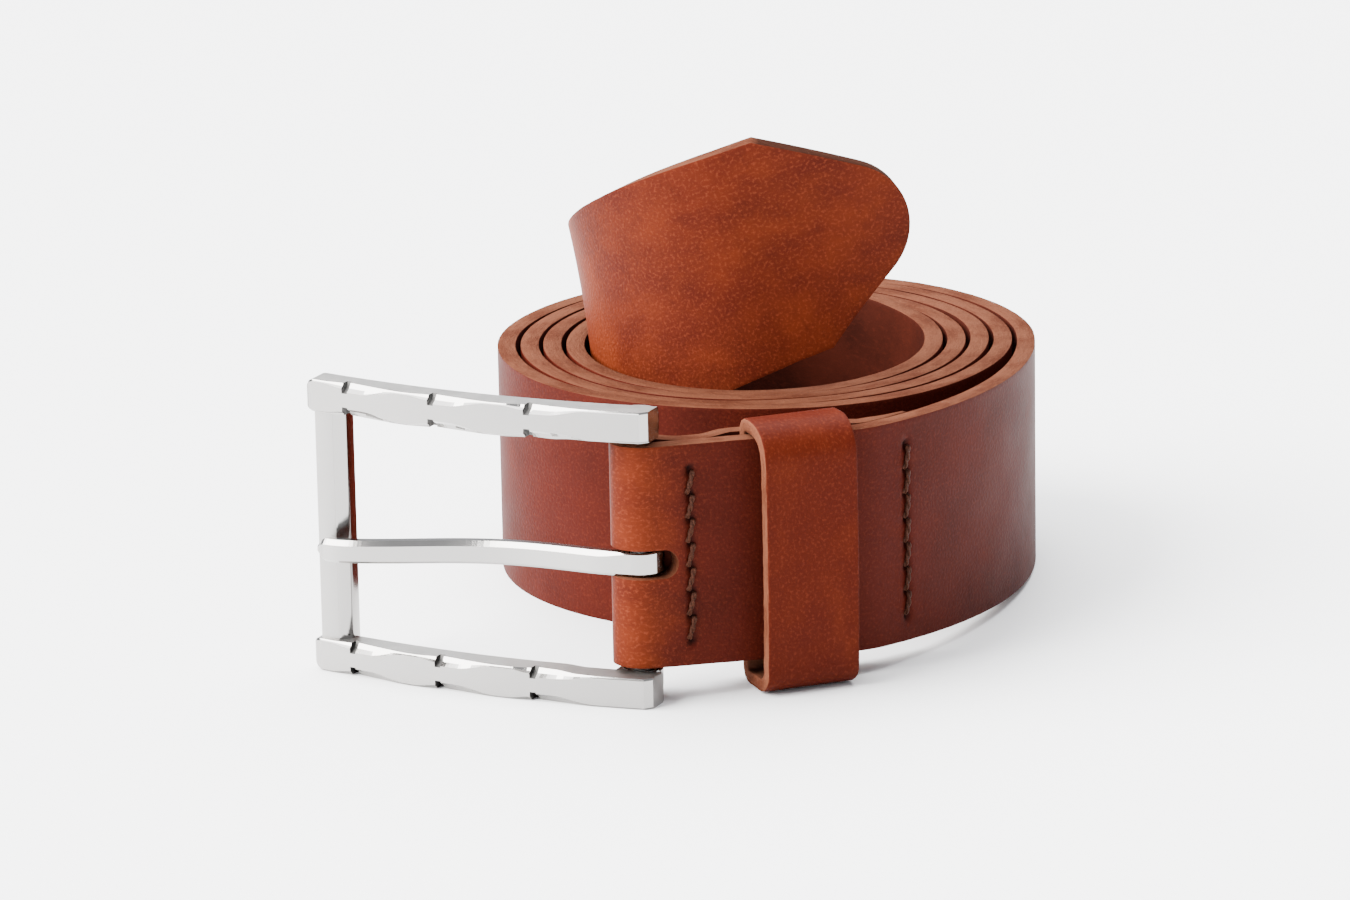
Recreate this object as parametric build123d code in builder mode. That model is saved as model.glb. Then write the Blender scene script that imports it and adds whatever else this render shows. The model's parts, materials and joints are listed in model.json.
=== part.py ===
from build123d import *
import os
from math import cos, radians, sin

# A leather belt coiled on its edge. The buckle end leaves the coil at the front, and the pointed tip
# climbs out of the middle. Millimetres, +Z up, +Y towards the back of the coil.
# The origin is on the surface it stands on, below the middle of the belt's whole outline.
os.makedirs("parts", exist_ok=True)

# Leather
strap_width = 40.0
leather = 3.2
turned_leather = 2.7          # the turn-back is skived to this
keeper_leather = 2.4

# Coil: elliptical half turns, each narrower than the one before it
coil_centre = Vector(14.378, 20.744, 0)
half_turns = 8
coil_half_width = 46.275
coil_half_depth = 47.6
width_step = 2.05
depth_step = 1.675
side_shift = 1.025            # half turns sit to the right and left by turns, so that they join

# Buckle end, seen from above: two bends and a straight run from the coil to the heel bar
wide_bend_radius = 96.426
wide_bend = 45.0
tight_bend_radius = 17.384
tight_bend = 23.0
straight_run = 35.0
lower_rise = 0.0570           # how fast its edges climb from the coil to the buckle
upper_rise = 0.0405

# Fold round the heel bar
heel_radius = 1.75
fold_inner_radius = 1.9
slot_height = 5.2
slot_end = 5.2                # beyond the heel bar's axis
slot_middle = 24.8

# Seams: eight holes, seven stitches, on both faces
stitch_holes = 8
thread_radius = 0.42
buckle_seam = {"distance": 7.5, "low": 8.6, "high": 39.2, "back": 4.2}
keeper_seam = {"distance": 48.5, "low": 7.0, "high": 39.6, "back": 2.9}
turn_back_end = 53.0

# Keeper, a closed ring round the front layer
keeper_at = 26.5
keeper_length = 16.5
keeper_gap = 3.6              # room for the tip in front of the strap
keeper_back = 2.0
keeper_low = 0.3
keeper_high = 46.6
keeper_clearance = 0.2
staple_wire = 0.5
staple_reach = 10.0

# Tip, climbing out of the coil
rise_half_width = 29.875
rise_half_depth = 34.2
rise_bend_radius = 33.0
rise_bend = 80.0
tip_bend_radius = 70.0
tip_bend = 22.2
climb = 0.54                  # steepest slope
climb_run = 130.0             # the slope grows over this run
tip_droop = 0.25              # how much of the slope is lost again at the tip
droop_start = 120.0
droop_run = 54.0
lean = 6.5                    # degrees, outwards
lean_run = 100.0
point_length = 20.6
point_radius = 13.0
hole_count = 5
hole_pitch = 25.0
first_hole = 100.0            # from the point
hole_radius = 2.5

# Buckle, in its own plan: x along the side bars to the right, y away from the front, from the heel bar
buckle_turn = -24.4
buckle_height = 51.3
side_bar = 5.6
bar_depth = 5.3
frame_right = 4.8
frame_left = -58.7
frame_front = -7.5
frame_bow = 3.0
notch_places = (-50.9, -34.0, -16.3)
notch_length = 12.0
notch_depth = 1.3
notch_height = 1.5
lug_radius = 3.6
lug_start = 1.6               # the lugs are lower than the side bars' outer faces
end_bar_profile = ((-57.0, -6.9), (-53.4, -6.9), (-51.7, -5.2), (-51.7, -2.6), (-57.0, -2.6))
prong_height = 4.2
prong_thickness = 2.5
prong_bore = 1.83
prong_eye = 4.1
prong_line = ((0, -3.0), (-6.2, -3.2), (-15.2, -2.3), (-24.2, -2.4), (-32.7, -4.3), (-40.2, -7.0),
              (-50.0, -9.9), (-53.0, -10.1), (-55.8, -9.2))
prong_drop = 2.3              # its tip rests this much lower than its eye

floor = Plane(coil_centre)
up = Vector(0, 0, 1)
coil_start = coil_half_width + side_shift
fold_radius = fold_inner_radius + leather / 2


def smooth_step_area(run):
    """Area under a smooth step that climbs from 0 to 1 over a run of 0 to 1."""
    run = min(max(run, 0.0), 1.0)
    return run**3 - run**4 / 2


def half_turn(number):
    """Plan of one half turn of the coil, counted from the outermost."""
    right = number % 2 == 0
    middle = (side_shift if right else -side_shift, 0)
    width = coil_half_width - number * width_step
    depth = coil_half_depth - number * depth_step
    start = 0 if right else 180
    with BuildSketch(floor) as plan:
        with BuildLine():
            arcs = [
                EllipticalCenterArc(middle, width + side, depth + side, start, arc_size=180)
                for side in (leather / 2, -leather / 2)
            ]
            Line(arcs[0] @ 0, arcs[1] @ 0)
            Line(arcs[0] @ 1, arcs[1] @ 1)
        make_face()
    return plan.sketch


# Centre line of the buckle end, from the coil to the heel bar
with BuildLine() as buckle_end:
    wide = JernArc((coil_start, 0), (0, -1), wide_bend_radius, -wide_bend)
    tight = JernArc(wide @ 1, wide % 1, tight_bend_radius, -tight_bend)
    straight = Line(tight @ 1, tight @ 1 + (tight % 1) * straight_run)
spine = buckle_end.wire()
heading = straight % 1
outward = Vector(-heading.Y, heading.X, 0)
heel = straight @ 1 - outward * fold_radius


def beside(distance, depth):
    """Point of the plan at a distance from the heel bar along the strap, and behind its centre line."""
    place = spine.length - distance
    point = spine.position_at(place, position_mode=PositionMode.LENGTH)
    along = spine.tangent_at(place, position_mode=PositionMode.LENGTH)
    return point + Vector(along.Y, -along.X, 0) * depth


# Buckle end: front layer, fold and turn-back, trimmed to its climbing edges, with the prong's slot
with BuildPart() as folded_end:
    with BuildSketch(floor):
        with BuildLine():
            faces = []
            for side in (leather / 2, -leather / 2):
                bend = JernArc((coil_start + side, 0), (0, -1), wide_bend_radius + side, -wide_bend)
                curl = JernArc(bend @ 1, bend % 1, tight_bend_radius + side, -tight_bend)
                faces.append((bend @ 0, Line(curl @ 1, curl @ 1 + (curl % 1) * straight_run) @ 1))
            Line(faces[0][0], faces[1][0])
            Line(faces[0][1], faces[1][1])
        make_face()
    with BuildSketch(floor):
        with BuildLine():
            turn = [
                ThreePointArc(heel + outward * radius, heel + heading * radius, heel - outward * radius)
                for radius in (fold_inner_radius, fold_inner_radius + leather)
            ]
            Line(turn[0] @ 0, turn[1] @ 0)
            Line(turn[0] @ 1, turn[1] @ 1)
        make_face()
    with BuildSketch(floor):
        near_depth = ((0, fold_radius + fold_inner_radius), (buckle_seam["distance"], 1.3), (15, 4.6),
                      (26, 5.0), (38, 4.6), (keeper_seam["distance"], 1.3), (turn_back_end, 1.3))
        far_depth = ((0, fold_radius + fold_inner_radius + leather),
                     (buckle_seam["distance"], 1.3 + turned_leather), (15, 4.6 + turned_leather),
                     (26, 5.0 + turned_leather), (38, 4.4 + turned_leather),
                     (keeper_seam["distance"], 2.8), (turn_back_end, 2.2))
        last_heading = spine.tangent_at(spine.length - turn_back_end, position_mode=PositionMode.LENGTH)
        with BuildLine():
            near = Spline(*[beside(*place) for place in near_depth], tangents=(-heading, -last_heading))
            far = Spline(*[beside(*place) for place in far_depth], tangents=(-heading, -last_heading))
            Line(near @ 0, far @ 0)
            Line(near @ 1, far @ 1)
        make_face()
    extrude(amount=buckle_height)
    climb_direction = (heel - Vector(coil_start, 0, 0)).normalized()
    edge_start = coil_centre + Vector(coil_start, 0, 0)
    split(bisect_by=Plane(edge_start, z_dir=up - climb_direction * lower_rise), keep=Keep.TOP)
    split(
        bisect_by=Plane(edge_start + up * strap_width, z_dir=up - climb_direction * upper_rise),
        keep=Keep.BOTTOM,
    )
    slot_plane = Plane(coil_centre + heel + up * slot_middle, x_dir=-heading, z_dir=outward)
    with BuildSketch(slot_plane):
        with Locations((slot_end / 2 - 5, 0)):
            SlotOverall(slot_end + 10, slot_height)
    extrude(amount=20, both=True, mode=Mode.SUBTRACT)

# Centre line of the tip end in plan
with BuildLine() as rise_plan:
    back = EllipticalCenterArc((side_shift, 0), rise_half_width, rise_half_depth, 0, arc_size=180)
    side = JernArc(back @ 1, (0, -1), rise_bend_radius, rise_bend)
    JernArc(side @ 1, side % 1, tip_bend_radius, tip_bend)
rise = rise_plan.wire()


def rise_section_plane(run):
    """Plane across the tip end: x across the strap, y through the leather, z along it."""
    point = rise.position_at(run, position_mode=PositionMode.LENGTH)
    along = rise.tangent_at(run, position_mode=PositionMode.LENGTH)
    outwards = Vector(along.Y, -along.X, 0)
    growing = climb * climb_run * smooth_step_area(run / climb_run)
    steady = climb * max(run - climb_run, 0)
    drooping = tip_droop * droop_run * smooth_step_area((run - droop_start) / droop_run)
    height = strap_width / 2 + growing + steady - drooping
    growth = min(run / climb_run, 1)
    leaning = min(run / lean_run, 1)
    droop = min(max((run - droop_start) / droop_run, 0), 1)
    slope = climb * growth**2 * (3 - 2 * growth) - tip_droop * droop**2 * (3 - 2 * droop)
    forward = (along + up * slope).normalized()
    upright = (up - along * slope).normalized()
    tilt = radians(lean) * leaning
    across = upright * cos(tilt) + outwards * sin(tilt)
    return Plane(coil_centre + point + up * height, x_dir=across, z_dir=forward)


def rise_section(run):
    """The strap's section on the tip end."""
    with BuildSketch(rise_section_plane(run)) as section:
        Rectangle(strap_width, leather)
    return section.sketch


def drill_plane(run):
    """Plane in the middle of the leather, facing through it: x along the strap, y across it."""
    section = rise_section_plane(run)
    return Plane(section.origin, x_dir=section.z_dir, z_dir=section.y_dir)


hole_places = [rise.length - first_hole - number * hole_pitch for number in range(hole_count)]
rise_stations = [rise.length * station / 12 for station in range(13)]
with BuildPart() as tip_end:
    loft([rise_section(run) for run in rise_stations])
    point_base = rise.length - point_length
    with BuildSketch(drill_plane(point_base + point_length / 2)):
        Rectangle(2 * point_length, 2 * strap_width)
        with BuildSketch(mode=Mode.SUBTRACT):
            with BuildLine():
                shoulder = -point_length / 2
                half = strap_width / 2 + 1
                nose = CenterArc((point_length / 2 - point_radius, 0), point_radius, -51, 102)
                Polyline(nose @ 1, (shoulder, half), (shoulder - 30, half), (shoulder - 30, -half),
                         (shoulder, -half), nose @ 0)
            make_face()
    extrude(amount=12, both=True, mode=Mode.SUBTRACT)
    for place in hole_places[:-1]:
        with BuildSketch(drill_plane(place)):
            Circle(hole_radius)
        extrude(amount=leather / 2 + 0.1, both=True, mode=Mode.SUBTRACT)

# The last hole is in the innermost half turn, just before the tip end starts
last_turn = half_turns - 1
with BuildLine() as inner_plan:
    EllipticalCenterArc((-side_shift, 0), coil_half_width - last_turn * width_step,
                        coil_half_depth - last_turn * depth_step, 180, arc_size=180)
inner = inner_plan.wire()
inner_place = inner.length + hole_places[-1]
inner_point = inner.position_at(inner_place, position_mode=PositionMode.LENGTH)
inner_along = inner.tangent_at(inner_place, position_mode=PositionMode.LENGTH)

with BuildPart() as strap:
    for number in range(half_turns):
        extrude(half_turn(number), amount=strap_width)
    with BuildSketch(Plane(coil_centre + inner_point + up * strap_width / 2,
                           z_dir=Vector(inner_along.Y, -inner_along.X, 0))):
        Circle(hole_radius)
    extrude(amount=leather / 2 + 0.3, both=True, mode=Mode.SUBTRACT)
    add(folded_end.part)
    add(tip_end.part)
strap.part.label = "strap"
export_step(strap.part, "parts/strap.step")


def seam_point(seam, height, depth):
    """Point of a seam at a height, behind the front layer's centre line."""
    return coil_centre + beside(seam["distance"], depth) + up * height


for name, seam in (("buckle_seam_thread", buckle_seam), ("keeper_seam_thread", keeper_seam)):
    front_depth = -leather / 2 - 0.1
    back_depth = seam["back"] - 0.2
    seam_height = seam["high"] - seam["low"]
    across_seam = seam_point(seam, 0, back_depth) - seam_point(seam, 0, front_depth)
    with BuildPart() as thread:
        for depth in (front_depth, back_depth):
            with Locations(Plane(seam_point(seam, seam["low"], depth), z_dir=up)):
                Cylinder(thread_radius, seam_height, align=(Align.CENTER, Align.CENTER, Align.MIN))
        for number in range(stitch_holes):
            share = number / (stitch_holes - 1)
            height = seam["low"] + thread_radius + (seam_height - 2 * thread_radius) * share
            with Locations(Plane(seam_point(seam, height, front_depth), z_dir=across_seam)):
                Cylinder(0.9 * thread_radius, back_depth - front_depth,
                         align=(Align.CENTER, Align.CENTER, Align.MIN))
    thread.part.label = name
    export_step(thread.part, f"parts/{name}.step")

# Keeper: x out of the front of the strap, y up
keeper_plane = Plane(coil_centre + beside(keeper_at, 0), x_dir=outward, z_dir=heading)
ring_back = -leather / 2 - keeper_clearance
ring_front = leather / 2 + keeper_gap

with BuildPart() as keeper_loop:
    with BuildSketch(keeper_plane):
        with Locations(((ring_back - keeper_back + ring_front + keeper_leather) / 2,
                        (keeper_low + keeper_high) / 2)):
            RectangleRounded(ring_front - ring_back + keeper_back + keeper_leather,
                             keeper_high - keeper_low, 3.0)
        with Locations(((ring_back + ring_front) / 2, (keeper_low + keeper_high) / 2)):
            RectangleRounded(ring_front - ring_back, keeper_high - keeper_low - 2 * keeper_leather, 1.2,
                             mode=Mode.SUBTRACT)
    extrude(amount=keeper_length / 2, both=True)
keeper_loop.part.label = "keeper_loop"
export_step(keeper_loop.part, "parts/keeper_loop.step")

# Flat wire staple that closes the keeper's ring, through its back wall with its ends turned in
staple_outside = ring_back - keeper_back - staple_wire
staple_inside = ring_back
staple_middle = ((staple_outside + staple_inside) / 2, slot_middle)
staple_span = staple_inside - staple_outside
with BuildPart() as keeper_staple:
    with BuildSketch(keeper_plane):
        with Locations(staple_middle):
            Rectangle(staple_span, staple_reach)
            Rectangle(staple_span - 2 * staple_wire, staple_reach - 2 * staple_wire, mode=Mode.SUBTRACT)
        with Locations((staple_inside, slot_middle)):
            Rectangle(2.1 * staple_wire, staple_reach - 6, mode=Mode.SUBTRACT)
    extrude(amount=staple_wire, both=True)
keeper_staple.part.label = "keeper_staple"
export_step(keeper_staple.part, "parts/keeper_staple.step")

# Buckle
heel_point = coil_centre + heel
buckle_x = Vector(cos(radians(buckle_turn)), sin(radians(buckle_turn)), 0)
buckle_plane = Plane(heel_point, x_dir=buckle_x, z_dir=up)


def buckle_level(height):
    """The buckle's plan at a height above the floor."""
    return buckle_plane.offset(height)


def front_of(x):
    """The side bar's front edge at a place along it."""
    middle = (frame_left + frame_right) / 2
    return frame_front - frame_bow * (1 - ((x - middle) / (frame_right - middle)) ** 2)


with BuildPart() as buckle_frame:
    with BuildSketch(buckle_level(0)):
        middle = (frame_left + frame_right) / 2
        with BuildLine():
            front = ThreePointArc((frame_right, frame_front), (middle, frame_front - frame_bow),
                                  (frame_left, frame_front))
            rear = ThreePointArc((frame_right, frame_front + bar_depth),
                                 (middle, frame_front - frame_bow + bar_depth),
                                 (frame_left, frame_front + bar_depth))
            Line(front @ 0, rear @ 0)
            Line(front @ 1, rear @ 1)
        make_face()
    extrude(amount=side_bar)
    with BuildSketch(buckle_level(lug_start)):
        Circle(lug_radius)
        with Locations((0, frame_front / 2)):
            Rectangle(2 * lug_radius, -frame_front - 2)
    extrude(amount=side_bar - lug_start)
    for level in (0, side_bar - notch_height):
        with BuildSketch(buckle_level(level)):
            for x in notch_places:
                with BuildLine():
                    Polyline((x, front_of(x) - 1), (x, front_of(x) + notch_depth),
                             (x + notch_length, front_of(x + notch_length) - 0.2),
                             (x + notch_length, front_of(x + notch_length) - 1), close=True)
                make_face()
        extrude(amount=notch_height, mode=Mode.SUBTRACT)
    mirror(about=Plane.XY.offset(buckle_height / 2))
    with BuildSketch(buckle_level(side_bar / 2)):
        with BuildLine():
            Polyline(*end_bar_profile, close=True)
        make_face()
    extrude(amount=buckle_height - side_bar)
    with BuildSketch(buckle_level(2.0)):
        Circle(heel_radius)
    extrude(amount=buckle_height - 4.0, mode=Mode.SUBTRACT)
buckle_frame.part.label = "buckle_frame"
export_step(buckle_frame.part, "parts/buckle_frame.step")

with BuildPart() as heel_bar:
    with BuildSketch(buckle_level(2.0)):
        Circle(heel_radius)
    extrude(amount=buckle_height - 4.0)
heel_bar.part.label = "heel_bar"
export_step(heel_bar.part, "parts/heel_bar.step")

with BuildPart() as prong:
    with BuildSketch(buckle_level(slot_middle - 10)):
        with BuildLine():
            front = Spline(*[(x, y - prong_thickness / 2) for x, y in prong_line])
            rear = Spline(*[(x, y + prong_thickness / 2) for x, y in prong_line])
            Line(front @ 0, rear @ 0)
            Line(front @ 1, rear @ 1)
        make_face()
    extrude(amount=20)
    with BuildSketch(Plane(heel_point, x_dir=buckle_x, z_dir=Vector(buckle_x.Y, -buckle_x.X, 0))):
        tip_x = prong_line[-1][0]
        with BuildLine():
            Polyline((0, slot_middle - prong_height / 2), (0, slot_middle + prong_height / 2),
                     (tip_x, slot_middle + prong_height / 2 - prong_drop),
                     (tip_x, slot_middle - prong_height / 2 - prong_drop), close=True)
        make_face()
    extrude(amount=20, both=True, mode=Mode.INTERSECT)
    with BuildSketch(buckle_level(slot_middle - prong_height / 2)):
        Circle(prong_eye)
    extrude(amount=prong_height)
    with BuildSketch(buckle_level(slot_middle - prong_height)):
        Circle(prong_bore)
    extrude(amount=2 * prong_height, mode=Mode.SUBTRACT)
prong.part.label = "prong"
export_step(prong.part, "parts/prong.step")

pieces = (strap, keeper_loop, keeper_staple, buckle_frame, heel_bar, prong)
print("outline", Compound([piece.part for piece in pieces]).bounding_box())
print("heel bar at", heel_point, "strap along it", heading)
print("buckle end", spine.length, "tip end", rise.length)
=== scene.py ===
import json
import math
from bisect import bisect_right

import bmesh
import bpy
from mathutils import Matrix, Vector, noise


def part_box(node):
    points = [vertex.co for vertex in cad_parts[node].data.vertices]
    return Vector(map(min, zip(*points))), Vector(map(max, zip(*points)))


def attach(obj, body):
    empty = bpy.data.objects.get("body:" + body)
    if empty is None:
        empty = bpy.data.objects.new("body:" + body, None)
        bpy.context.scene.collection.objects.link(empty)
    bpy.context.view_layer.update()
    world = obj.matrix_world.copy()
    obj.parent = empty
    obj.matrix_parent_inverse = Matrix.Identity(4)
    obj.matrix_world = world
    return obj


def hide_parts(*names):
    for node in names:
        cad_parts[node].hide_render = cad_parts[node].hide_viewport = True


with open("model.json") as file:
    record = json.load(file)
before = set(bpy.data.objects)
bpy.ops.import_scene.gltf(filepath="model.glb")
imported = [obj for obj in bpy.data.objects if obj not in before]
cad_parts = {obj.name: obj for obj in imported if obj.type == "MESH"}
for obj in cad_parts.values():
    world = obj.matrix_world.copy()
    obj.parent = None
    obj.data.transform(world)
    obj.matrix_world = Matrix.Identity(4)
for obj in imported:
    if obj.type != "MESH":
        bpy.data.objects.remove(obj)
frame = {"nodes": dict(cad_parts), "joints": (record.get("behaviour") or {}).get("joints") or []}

bl_info = {
    "name": "Coiled leather belt",
    "version": (1, 0, 0),
    "blender": (4, 5, 0),
    "location": "3D View > Sidebar > Belt",
    "description": "Cuts, punches, coils and stitches a leather belt round its packed frame",
    "category": "Object",
}

MM = 0.001
UP = Vector((0, 0, 1))
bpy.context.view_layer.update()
JOINTS = {joint["name"]: joint for joint in frame["joints"]}
HEEL = Vector(JOINTS["buckle_swing"]["pos_m"]).to_2d().to_3d()
TO_COIL = Vector(JOINTS["keeper_slide"]["axis"]).normalized()
OUTWARD = Vector((TO_COIL.y, -TO_COIL.x, 0))
BUCKLE_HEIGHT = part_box("buckle_frame")[1].z


# ---------------------------------------------------------------- sizes and colours

def length(name, description, millimetres):
    """A size that a user can change, given in millimetres."""
    return bpy.props.FloatProperty(
        name=name, description=description, default=millimetres * MM, unit="LENGTH", precision=5
    )


def colour(name, description, default):
    """A colour that a user can change."""
    return bpy.props.FloatVectorProperty(
        name=name, description=description, default=default, subtype="COLOR", size=3, min=0, max=1
    )


class BeltSizes(bpy.types.PropertyGroup):
    """Sizes of the belt's leather and thread"""

    width: length("Strap width", "Width of the strap", 40.0)
    leather: length("Leather", "Thickness of the strap", 3.2)
    turned: length("Turned leather", "Thickness of the turn-back after skiving", 2.7)
    keeper: length("Keeper leather", "Thickness of the keeper's walls", 2.3)
    corner: length("Cut corner", "How far the cut corners are rubbed round", 0.35)
    thread: length("Thread", "Radius of one ply of the thread", 0.27)
    stitch: length("Stitch pitch", "Distance from hole to hole", 4.4)


class BeltColours(bpy.types.PropertyGroup):
    """Colours of the belt"""

    grain: colour("Grain", "The strap's waxed outside", (0.044, 0.0054, 0.0028))
    # The lighter grain of pulled-up patches and bends; round the buckle fold it partly paints a highlight.
    bloom: colour("Pulled-up grain", "The grain where it's bent or rubbed lighter", (0.108, 0.0175, 0.0048))
    shade: colour("Dark grain", "The grain's darker cloud", (0.0185, 0.0026, 0.0017))
    keeper: colour("Keeper", "The keeper's outside", (0.048, 0.0054, 0.0018))
    flesh: colour("Flesh side", "The strap's inside", (0.041, 0.0071, 0.0036))
    cut: colour("Cut edge", "The strap's raw cut edges", (0.090, 0.031, 0.0165))
    thread: colour("Thread", "The waxed thread", (0.025, 0.0080, 0.0043))
    nickel: colour("Nickel", "The buckle's plating", (0.33, 0.32, 0.31))
    floor: colour("Floor", "The plain floor", (0.95, 0.955, 0.965))


# ---------------------------------------------------------------- shader sums

class Wire:
    """A node's output that can be used in sums."""

    def __init__(self, finish, socket):
        self.finish = finish
        self.socket = socket

    def sum(self, operation, first, second):
        return self.finish.node("ShaderNodeMath", {"operation": operation}, {0: first, 1: second})

    def __add__(self, other):
        return self.sum("ADD", self, other)

    def __radd__(self, other):
        return self.sum("ADD", other, self)

    def __sub__(self, other):
        return self.sum("SUBTRACT", self, other)

    def __rsub__(self, other):
        return self.sum("SUBTRACT", other, self)

    def __mul__(self, other):
        return self.sum("MULTIPLY", self, other)

    def __rmul__(self, other):
        return self.sum("MULTIPLY", other, self)


class Finish:
    """A material on a Principled shader."""

    def __init__(self, name, **constants):
        self.material = bpy.data.materials.new(name)
        self.material.use_nodes = True
        self.nodes = self.material.node_tree.nodes
        self.links = self.material.node_tree.links
        self.shader = self.nodes["Principled BSDF"]
        for socket, value in constants.items():
            self.shader.inputs[socket.replace("_", " ")].default_value = value

    def node(self, kind, settings, inputs, output=0):
        """Adds a node: its settings, or a ramp's stops, come first, then its sockets' values or links."""
        node = self.nodes.new(kind)
        for name, value in settings.items():
            if name == "stops":
                ramp = node.color_ramp.elements
                while len(ramp) < len(value):
                    ramp.new(1.0)
                for element, (place, shade) in zip(ramp, value):
                    element.position = place
                    element.color = shade
            else:
                setattr(node, name, value)
        for name, value in inputs.items():
            if isinstance(value, Wire):
                self.links.new(value.socket, node.inputs[name])
            else:
                node.inputs[name].default_value = value
        return Wire(self, node.outputs[output])

    def feed(self, socket, wire):
        self.links.new(wire.socket, self.shader.inputs[socket])

    def place(self, layer):
        """Coordinates in metres that follow the leather."""
        return self.node("ShaderNodeUVMap", {"uv_map": layer}, {})

    def stretched(self, place, stretch):
        return self.node("ShaderNodeMapping", {}, {"Vector": place, "Scale": stretch})

    def cloud(self, place, grain_size, detail=3.0, roughness=0.55):
        """Noise whose lumps are about this size in metres."""
        sockets = {"Vector": place, "Scale": 1 / grain_size, "Detail": detail, "Roughness": roughness}
        return self.node("ShaderNodeTexNoise", {}, sockets)

    def ramp(self, wire, low, high):
        """0 below low, 1 above high."""
        sockets = {"Value": wire, "From Min": low, "From Max": high}
        return self.node("ShaderNodeMapRange", {"interpolation_type": "SMOOTHSTEP", "clamp": True}, sockets)

    def mix(self, amount, first, second):
        """Blends two colours."""
        fixed = [value if isinstance(value, Wire) else (*value, 1.0) for value in (first, second)]
        sockets = {"Factor": amount, 6: fixed[0], 7: fixed[1]}
        return self.node("ShaderNodeMix", {"data_type": "RGBA"}, sockets, output=2)

    def bump(self, height, depth, strength):
        """Relief of a height in metres."""
        return self.node("ShaderNodeBump", {}, {"Height": height, "Distance": depth, "Strength": strength})


def colours():
    return bpy.context.scene.belt_colours


def sizes():
    return bpy.context.scene.belt_sizes


def grain_finish(name, base, shade, bloom, bloom_share):
    """Waxed full-grain leather: dark clouds, lighter pulled-up patches, pores and a fine pebble, lighter where
    the strap bends (partly a painted highlight), and painted shade in the stitch holes.
    """
    finish = Finish(name, Specular_IOR_Level=0.032)
    place = finish.place("leather")
    broad = finish.cloud(place, 0.022, 4.0, 0.6)
    patch = finish.cloud(finish.stretched(place, (0.7, 1.0, 1.0)), 0.009, 5.0, 0.6)
    fleck = finish.cloud(place, 0.00055, 2.0, 0.6)
    fibre = finish.cloud(finish.stretched(place, (1.0, 0.28, 1.0)), 0.0016, 3.0, 0.6)
    pebble = finish.node(
        "ShaderNodeTexVoronoi", {"feature": "DISTANCE_TO_EDGE"}, {"Vector": place, "Scale": 1 / 0.0011}
    )
    rubbed = finish.node("ShaderNodeAttribute", {"attribute_name": "rubbed"}, {}, output=2)
    marked = finish.node("ShaderNodeAttribute", {"attribute_name": "marked"}, {}, output=2)
    dark = finish.mix(finish.ramp(broad, 0.40, 0.75) * 0.5, base, shade)
    # Lighter tone and more pale flecks where the rubbed attribute is set: pulled-up grain, and round the
    # buckle fold partly a painted highlight.
    pulled_up_and_lit = finish.ramp(patch * 0.55 + rubbed * 0.5 + 0.2, 0.50 - bloom_share, 0.90 - bloom_share)
    tone = finish.mix(pulled_up_and_lit * 0.8, dark, bloom)
    pale = tuple(1.5 * channel + 0.008 for channel in bloom)
    tone = finish.mix(finish.ramp(fleck, 0.48, 0.72) * (0.14 + rubbed * 0.55), tone, pale)
    tone = finish.mix(finish.ramp(fibre, 0.55, 0.75) * 0.22, tone, shade)
    # Darker at the stitches and the point's edges: painted shade in the stitch holes and their groove, partly
    # the darker pressed leather, and real burnish along the point.
    tone = finish.mix(marked, tone, tuple(0.25 * channel for channel in shade))
    finish.feed("Base Color", tone)
    finish.feed("Roughness", 0.42 + 0.18 * patch + 0.06 * fleck)
    relief = finish.ramp(pebble, 0.0, 0.25) * 0.5 + fleck * 0.35 + fibre * 0.5
    finish.feed("Normal", finish.bump(relief, 0.00009, 0.42))
    return finish.material


def cut_finish(name, base):
    """A raw cut edge: pale fibres in layers, with darker burnished streaks."""
    finish = Finish(name, Roughness=0.9, Specular_IOR_Level=0.03)
    place = finish.place("leather")
    layers = finish.cloud(finish.stretched(place, (0.16, 1.0, 1.0)), 0.0008, 4.0, 0.7)
    tufts = finish.cloud(place, 0.0007, 3.0, 0.7)
    burnish = finish.cloud(finish.stretched(place, (0.5, 1.0, 1.0)), 0.006, 3.0, 0.6)
    dark = tuple(channel * share for channel, share in zip(base, (0.50, 0.36, 0.32)))
    pale = tuple(min(1.0, channel * 1.32) for channel in base)
    tone = finish.mix(finish.ramp(burnish, 0.40, 0.68) * 0.75, base, dark)
    tone = finish.mix(finish.ramp(tufts, 0.52, 0.70) * 0.6, tone, pale)
    tone = finish.mix(finish.ramp(layers, 0.52, 0.72) * 0.6, tone, dark)
    marked = finish.node("ShaderNodeAttribute", {"attribute_name": "marked"}, {}, output=2)
    tone = finish.mix(marked, tone, tuple(0.22 * channel for channel in dark))
    finish.feed("Base Color", tone)
    finish.feed("Normal", finish.bump(layers + tufts * 0.8, 0.00035, 0.8))
    return finish.material


def flesh_finish(name, base):
    """The smoothed, dyed inside of the leather."""
    finish = Finish(name, Roughness=0.7, Specular_IOR_Level=0.045)
    place = finish.place("leather")
    broad = finish.cloud(place, 0.018, 4.0, 0.6)
    nap = finish.cloud(finish.stretched(place, (0.5, 1.0, 1.0)), 0.0009, 4.0, 0.65)
    dark = tuple(channel * 0.55 for channel in base)
    tone = finish.mix(finish.ramp(broad, 0.35, 0.70), base, dark)
    tone = finish.mix(finish.ramp(nap, 0.50, 0.72) * 0.35, tone, tuple(1.5 * channel for channel in base))
    finish.feed("Base Color", tone)
    finish.feed("Normal", finish.bump(nap, 0.0001, 0.6))
    return finish.material


def thread_finish(name, base):
    """Waxed linen thread."""
    finish = Finish(name, Roughness=0.55, Specular_IOR_Level=0.07)
    spot = finish.node("ShaderNodeTexCoord", {}, {}, output=3)
    fibres = finish.cloud(spot, 0.0003, 3.0, 0.6)
    finish.feed("Base Color", finish.mix(finish.ramp(fibres, 0.4, 0.7), base, tuple(2.2 * c for c in base)))
    finish.feed("Normal", finish.bump(fibres, 0.00006, 0.6))
    return finish.material


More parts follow.
